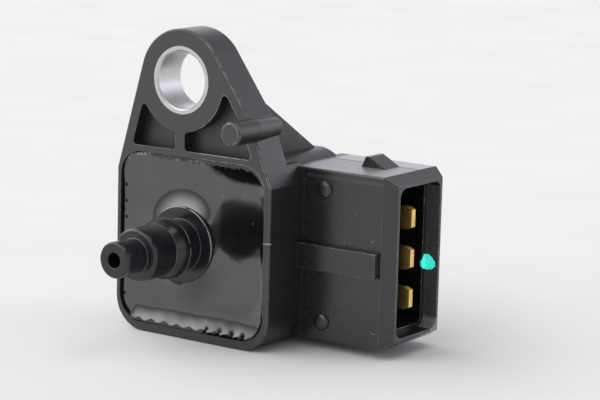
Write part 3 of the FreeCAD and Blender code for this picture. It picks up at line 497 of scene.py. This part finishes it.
def wall_distance(x, z):
    """Distance in from the recess's wall: the corner radius, less the signed distance from the rectangle
    that is smaller by that radius on every side."""
    half = RECESS_HALF - RECESS_CORNER
    over_x, over_z = np.abs(x - RECESS_MIDDLE[0]) - half[0], np.abs(z - RECESS_MIDDLE[1]) - half[1]
    outside = np.hypot(np.maximum(over_x, 0), np.maximum(over_z, 0))
    inside = np.minimum(np.maximum(over_x, over_z), 0)
    return RECESS_CORNER - outside - inside


def smooth_step(value, low, high):
    """Rises from 0 at low to 1 at high, level at both ends."""
    share = np.clip((value - low) / (high - low), 0, 1)
    return share * share * (3 - 2 * share)


def round_bumps(x, z, places, size):
    """Bumps, 1 high: e to the minus of the squared distance from the place over the squared size."""
    far_x = (x[..., None] - places[:, 0]) / size
    far_z = (z[..., None] - places[:, 1]) / size
    return np.exp(-far_x ** 2 - far_z ** 2).sum(axis=-1)


def potting_front(x, z):
    """Front of the potting: its level, fuller on the left, and a shallow dish beside the nozzle, less a
    parabola up each wall with its own width and rise, and a steeper climb up the boss. It has a ragged
    upper edge, and pits at the lower right."""
    distance = wall_distance(x, z)
    low = smooth_step(-z, 25.5, 29.0) * smooth_step(x, -8.3, -6.6)
    high = smooth_step(z, -14.5, -11.0)
    right = smooth_step(x, 6.5, 11.0) * (1 - low) * (1 - high)
    high_right = high * smooth_step(x, 0.0, 3.5)
    uneven = 1 + 0.08 * np.sin(0.83 * x + 1.3 * z) * np.cos(1.7 * x - 0.6 * z)
    width = 1.0 + (1.6 + 0.024 * (x - RECESS_LOW[0])) * low + 1.2 * high_right
    rise = 0.45 * right + 0.74 * low + 0.55 * high_right + 0.1 * (high - high_right)
    climb = rise * uneven * np.clip(1 - distance / width, 0, 1) ** 2
    lip = 0.2 * low * np.clip(1 - distance / 0.35, 0, 1) ** 2
    out_x, out_z = x - NOZZLE[0], z - NOZZLE[1]
    from_axis = np.hypot(out_x, out_z)
    bearing = np.degrees(np.arctan2(out_z, out_x))
    below = np.exp(3.2 * (np.cos(np.radians(bearing + 80.0)) - 1))
    rise_boss = 0.64 + 0.5 * below - 0.42 * np.exp(-((bearing - 18.0) / 34.0) ** 2)
    climb_boss = rise_boss * np.clip(1 - (from_axis - BOSS_RADIUS) / 3.3, 0, 1) ** 2.5
    dish = 0.14 * np.exp(-((x - 9.0) ** 2 + (z + 18.0) ** 2) / (2 * 2.7 ** 2))
    waves = 0.02 * np.sin(0.31 * x + 0.4) * np.cos(0.27 * z - 0.7)
    fuller = 0.28 * smooth_step(-x, 0.5, -RECESS_LOW[0])
    front = np.maximum(POTTING_LEVEL + dish + waves - fuller - climb - lip, -0.18)
    crust = high * (1 - high_right) * smooth_step(x, -8.2, -6.6) * np.clip(1 - distance / 0.7, 0, 1)
    front = front - 0.12 * crust * (1 + np.sin(9.0 * x) * np.sin(5.3 * x + 7.0 * z))
    pit_depth = np.interp(x, [4.0, 8.0], [0.1, 0.26])
    front = front + pit_depth * round_bumps(x, z, RESIN_PITS, 0.3)
    return np.maximum(front - climb_boss, BOSS_FRONT)


def make_potting(material):
    """Potting: rings that run from the boss out to the recess's outline, close together at both ends, then
    down the wall and back inside."""
    count, rings = 640, 76
    outer = recess_outline(count)
    inner = boss_circle(outer)
    share = (1 - np.cos(np.linspace(0, math.pi, rings))) / 2
    flat = inner[None] + (outer - inner)[None] * share[:, None, None]
    x, z = flat[..., 0], flat[..., 1]
    front = np.stack([x, potting_front(x, z), z], axis=-1)
    back = np.full((1, count, 1), COVER_FRONT)
    outer_back = np.concatenate([outer[None, :, :1], back, outer[None, :, 1:]], axis=-1)
    inner_back = np.concatenate([inner[None, :, :1], back, inner[None, :, 1:]], axis=-1)
    points = np.concatenate([front, outer_back, inner_back])
    faces = grid_faces(len(points), count, wrap_rows=True)
    piece = add_piece("potting_fill", points, faces, material)
    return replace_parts(piece, "potting")


def make_nozzle(material):
    """Nozzle, boss and inner collar: a closed half section turned about the nozzle's axis. Each corner
    (radius, y) is rounded by a parabola that leaves one side and meets the next at the given distance from
    the corner, or is sharp where that is 0."""
    section = np.array([
        (0.92, COVER_BACK, 0.0), (0.92, -13.25, 0.2), (2.24, -13.25, 0.4), (2.24, -11.55, 0.15),
        (2.05, -11.55, 0.06), (2.05, -9.35, 0.25), (3.27, -9.35, 0.5), (3.27, BARB_FRONT, 0.08),
        (3.68, -4.3, 0.35), (3.82, -3.65, 0.25), (3.82, BARB_BACK, 0.08), (3.18, BARB_BACK, 0.1),
        (3.18, BOSS_FRONT, 0.2), (BOSS_RADIUS, BOSS_FRONT, 0.14), (BOSS_RADIUS, 3.5, 0.0), (4.2, 3.5, 0.0),
        (4.2, COLLAR_END, 0.0), (3.2, COLLAR_END, 0.0), (3.2, COVER_BACK, 0.0)])
    corner, reach = section[:, :2], section[:, 2:]
    before, after = np.roll(corner, 1, axis=0) - corner, np.roll(corner, -1, axis=0) - corner
    first = corner + reach * before / np.linalg.norm(before, axis=1, keepdims=True)
    last = corner + reach * after / np.linalg.norm(after, axis=1, keepdims=True)
    share = np.linspace(0, 1, 9)[None, :, None]
    bends = (1 - share) ** 2 * first[:, None] + share ** 2 * last[:, None]
    bends = bends + 2 * share * (1 - share) * corner[:, None]
    profile = np.concatenate([bend if size > 0 else bend[:1] for bend, size in zip(bends, reach[:, 0])])
    angle = full_turn(160)
    radius, y = profile[:, :1], profile[:, 1:]
    x, z = NOZZLE[0] + radius * np.cos(angle), NOZZLE[1] + radius * np.sin(angle)
    points = np.stack([x, np.broadcast_to(y, x.shape), z], axis=-1)
    faces = grid_faces(len(points), len(angle), wrap_rows=True)
    piece = add_piece("nozzle", points, faces, material, 30.0)
    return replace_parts(piece, "pressure_port")


def make_cover(material):
    """Cover plate under the potting: the recess's outline less a gap, with the boss's circle as its inner
    edge."""
    count, gap = 240, 0.15
    outer = RECESS_MIDDLE + (recess_outline(count) - RECESS_MIDDLE) * (RECESS_HALF - gap) / RECESS_HALF
    inner = boss_circle(outer)
    rings = [(inner, COVER_FRONT), (outer, COVER_FRONT), (outer, COVER_BACK), (inner, COVER_BACK)]
    points = np.stack([np.stack([ring[:, 0], np.full(count, y), ring[:, 1]], axis=1) for ring, y in rings])
    faces = grid_faces(len(rings), count, wrap_rows=True)
    return add_piece("cover_plate", points, faces, material, 30.0)


def make_dab(material):
    """Dab of marking paint: a lens laid along the mouth's far wall and over its ledge. Its outline is an
    oval with waves of 3, 4, 11 and 17 to the turn, and its height the root of 1 less the squared share of
    the way out."""
    angle = full_turn(72)
    outline = 0.93 - 0.07 * np.sin(3 * angle) + 0.02 * np.cos(4 * angle)
    outline = outline + 0.03 * np.sin(11 * angle + 1.0) + 0.025 * np.sin(17 * angle)
    thickness, sunk = 0.075, -0.012
    out = np.linspace(0, 1, 16)
    share = np.concatenate([out, out[::-1][1:]])[:, None]
    height = np.concatenate([thickness * np.sqrt(1 - out ** 2), np.full(15, sunk)])[:, None]
    along = 1.46 + 1.27 * share * outline * np.cos(angle)
    z = -21.79 + 1.03 * share * outline * np.sin(angle)
    # The path from the rim inwards: far wall, a rounded inner corner, the ledge, an outer corner, inner wall
    run = [-0.2, 1.78, 1.9, 2.26, 2.42, 2.9]
    x = np.interp(along, run, [27.29, 25.31, 25.25, 25.25, 25.23, 24.75])
    y = np.interp(along, run, [17.18, 17.18, 17.12, 16.76, 16.68, 16.68])
    out_x = np.interp(along, run, [0.0, 0.0, 1.0, 1.0, 0.0, 0.0])
    out_y = np.interp(along, run, [-1.0, -1.0, 0.0, 0.0, -1.0, -1.0])
    points = np.stack([x + out_x * height, y + out_y * height, z], axis=-1)
    faces = grid_faces(len(points), len(angle))
    return add_piece("paint_dab", points, faces, material, 180.0)


def make_button(name, z, material):
    """Smooth dome over a button on the connector's side: its rise times the root of 1 less the fourth power
    of the share of the way out."""
    size, rise, sunk = 1.12, 0.52, -0.05
    angle = full_turn(96)
    share = np.sin(np.linspace(0, math.pi / 2, 28))
    radius = size * np.concatenate([share, share[::-1]])[:, None]
    height = np.concatenate([rise * np.sqrt(1 - share ** 4), np.full(28, sunk)])[:, None]
    x = 17.25 + radius * np.cos(angle)
    y = np.broadcast_to(SIDE_FRONT - height, x.shape)
    points = np.stack([x, y, z + radius * np.sin(angle)], axis=-1)
    faces = grid_faces(len(points), len(angle))
    return add_piece(name, points, faces, material, 30.0)


def make_sliver(name, path, width, thickness, material):
    """A fibre or burr: an ellipse carried along a path. Its size is the root of the sine of pi times the
    share of the path, so it comes to a point at both ends."""
    path = np.array(path)
    share = np.linspace(0, 1, 25)
    knots = np.linspace(0, 1, len(path))
    centre = np.stack([np.interp(share, knots, path[:, i]) for i in range(3)], axis=1)
    ahead = np.gradient(centre, axis=0)
    ahead /= np.linalg.norm(ahead, axis=1, keepdims=True)
    side = np.cross(ahead, [0.0, -1.0, 0.0])
    side /= np.linalg.norm(side, axis=1, keepdims=True)
    lift = np.cross(side, ahead)
    angle = full_turn(12)[:, None]
    taper = np.sqrt(np.sin(math.pi * share))[:, None, None]
    ring = width / 2 * np.cos(angle) * side[:, None] + thickness / 2 * np.sin(angle) * lift[:, None]
    points = centre[:, None] + taper * ring
    faces = grid_faces(len(points), len(angle))
    return add_piece(name, points, faces, material, 180.0)


def make_marks(finishes):
    """The marks that the sensor carries: paint, a burr across the rim and two fibres."""
    make_dab(finishes["paint_mark"])
    pale = plain_finish("pale_burr", (0.16, 0.16, 0.16), (0.28, 0.28, 0.28), 3.0, 0.5, 0.01)
    across_rim = [(12.86, 0.01, -18.66), (13.5, -0.02, -18.61), (13.95, -0.02, -18.57), (14.2, 0.1, -18.54)]
    make_sliver("rim_burr", across_rim, 0.2, 0.12, pale)
    upper_path = [(24.12, 6.64, -18.05), (24.4, 6.62, -17.84), (24.72, 6.64, -17.6)]
    make_sliver("fibre_side", upper_path, 0.09, 0.07, pale)
    lower_path = [(24.42, 6.64, -28.85), (24.75, 6.62, -29.1), (25.15, 6.62, -29.14), (25.5, 6.64, -28.9)]
    make_sliver("fibre_low", lower_path, 0.09, 0.07, pale)


def make_camera():
    """The camera that the photograph's edges and circles fit. It looks along its own -Z."""
    lens = bpy.data.cameras.new("photo_camera")
    lens.sensor_width, lens.lens = 36.0, 138.1
    lens.clip_start, lens.clip_end = 0.005, 50.0
    camera = bpy.data.objects.new("photo_camera", lens)
    bpy.context.scene.collection.objects.link(camera)
    azimuth, elevation, roll = np.radians([34.90, 10.435, 1.528])
    position = np.array([172.14, -220.62, 36.96])
    level = np.array([math.sin(azimuth), -math.cos(azimuth), 0.0])
    right = np.array([math.cos(azimuth), math.sin(azimuth), 0.0])
    back = math.cos(elevation) * level + math.sin(elevation) * np.array([0.0, 0.0, 1.0])
    up = np.cross(back, right)
    placed = np.eye(4)
    placed[:3, 0] = math.cos(roll) * right + math.sin(roll) * up
    placed[:3, 1] = math.cos(roll) * up - math.sin(roll) * right
    placed[:3, 2] = back
    placed[:3, 3] = position * MM
    camera.matrix_world = Matrix(placed.tolist())
    bpy.context.scene.camera = camera


class Glow:
    """A soft patch of studio light: full at its bearing and height, fading smoothly out around them."""

    def __init__(self, bearing, spread, height, half_height, strength, colour):
        self.bearing, self.spread = math.radians(bearing), math.radians(spread)
        self.height, self.half_height = height, half_height
        self.light = [strength * part for part in colour]

    def mask(self, x, y, z):
        """Brightness by direction: a smooth fall in bearing times a bell in height."""
        level = (x * x + y * y).root() + 1e-4
        ahead = (x * math.cos(self.bearing) + y * math.sin(self.bearing)) / level
        along = ahead.ramp(math.cos(self.spread), 1.0)
        off = (z - self.height) / self.half_height
        bell = 1.0 - (off * off).least(1.0)
        return along * along * (3.0 - 2.0 * along) * bell * bell


def make_floor():
    """A pale paper floor, wide enough to fill the view."""
    mesh = bpy.data.meshes.new("floor")
    count, radius = 96, 4000
    angle = full_turn(count)
    ring = np.stack([radius * np.cos(angle), radius * np.sin(angle), np.full(count, FLOOR_LEVEL)], axis=1)
    mesh.from_pydata((ring * MM).tolist(), [], [list(range(count))])
    floor = bpy.data.objects.new("floor", mesh)
    bpy.context.scene.collection.objects.link(floor)
    paper = Finish("floor_paper", Roughness=0.9, Specular_IOR_Level=0.1)
    fibres = paper.noise(0.05, 3.0)
    mesh.materials.append(paper.feed(Base_Color=fibres.ramp(0.2, 0.8).mixed(grey(0.76), grey(0.8))))


def make_surround():
    """Soft studio light all round: a key ahead on the left, a cool light low behind, a weak fill on the
    right, and a small light overhead."""
    glows = [
        Glow(218.0, 100.0, 0.56, 0.6, 2.75, (1.0, 0.985, 0.96)),
        Glow(88.0, 100.0, 0.26, 0.42, 1.6, (0.88, 0.885, 1.0)),
        Glow(335.0, 50.0, 0.3, 0.35, 0.7, (0.95, 0.97, 1.0)),
        Glow(35.0, 60.0, 0.9, 0.14, 2.4, (1.0, 1.0, 1.0)),
    ]
    world = bpy.data.worlds.new("surround")
    bpy.context.scene.world = world
    world.use_nodes = True
    tree = world.node_tree
    tree.nodes.clear()
    start = Signal(tree)
    way = start.node("TexCoord", {}, {}, output=0)
    x, y, z = (way.part(i) for i in range(3))
    dim = 0.3 - 0.2 * z
    masks = [glow.mask(x, y, z) for glow in glows]
    channels = [sum((mask * glow.light[i] for mask, glow in zip(masks, glows)), dim) for i in range(3)]
    colour = dim.node("CombineColor", {}, dict(enumerate(channels)))
    light = start.node("Background", {}, {"Color": colour, "Strength": 1.0})
    output = tree.nodes.new("ShaderNodeOutputWorld")
    tree.links.new(light.socket, output.inputs[0])
    bpy.context.scene.view_settings.view_transform = "Standard"


def dress_nodes(finishes):
    """Every CAD node takes the finish of its slot."""
    for part in frame["record"]["subparts"]:
        node = frame["nodes"][part["node"]]
        if not node.material_slots:
            node.data.materials.append(None)
        for place in node.material_slots:
            place.material = finishes[part["material_slot"]]


finishes = make_finishes()
dress_nodes(finishes)
make_potting(finishes["potting_compound"])
make_nozzle(finishes["port_plastic"])
make_cover(finishes["port_plastic"])
make_button("button_dome_upper", -12.305, finishes["housing_plastic"])
make_button("button_dome_lower", -28.755, finishes["housing_plastic"])
make_marks(finishes)
make_camera()
make_floor()
make_surround()
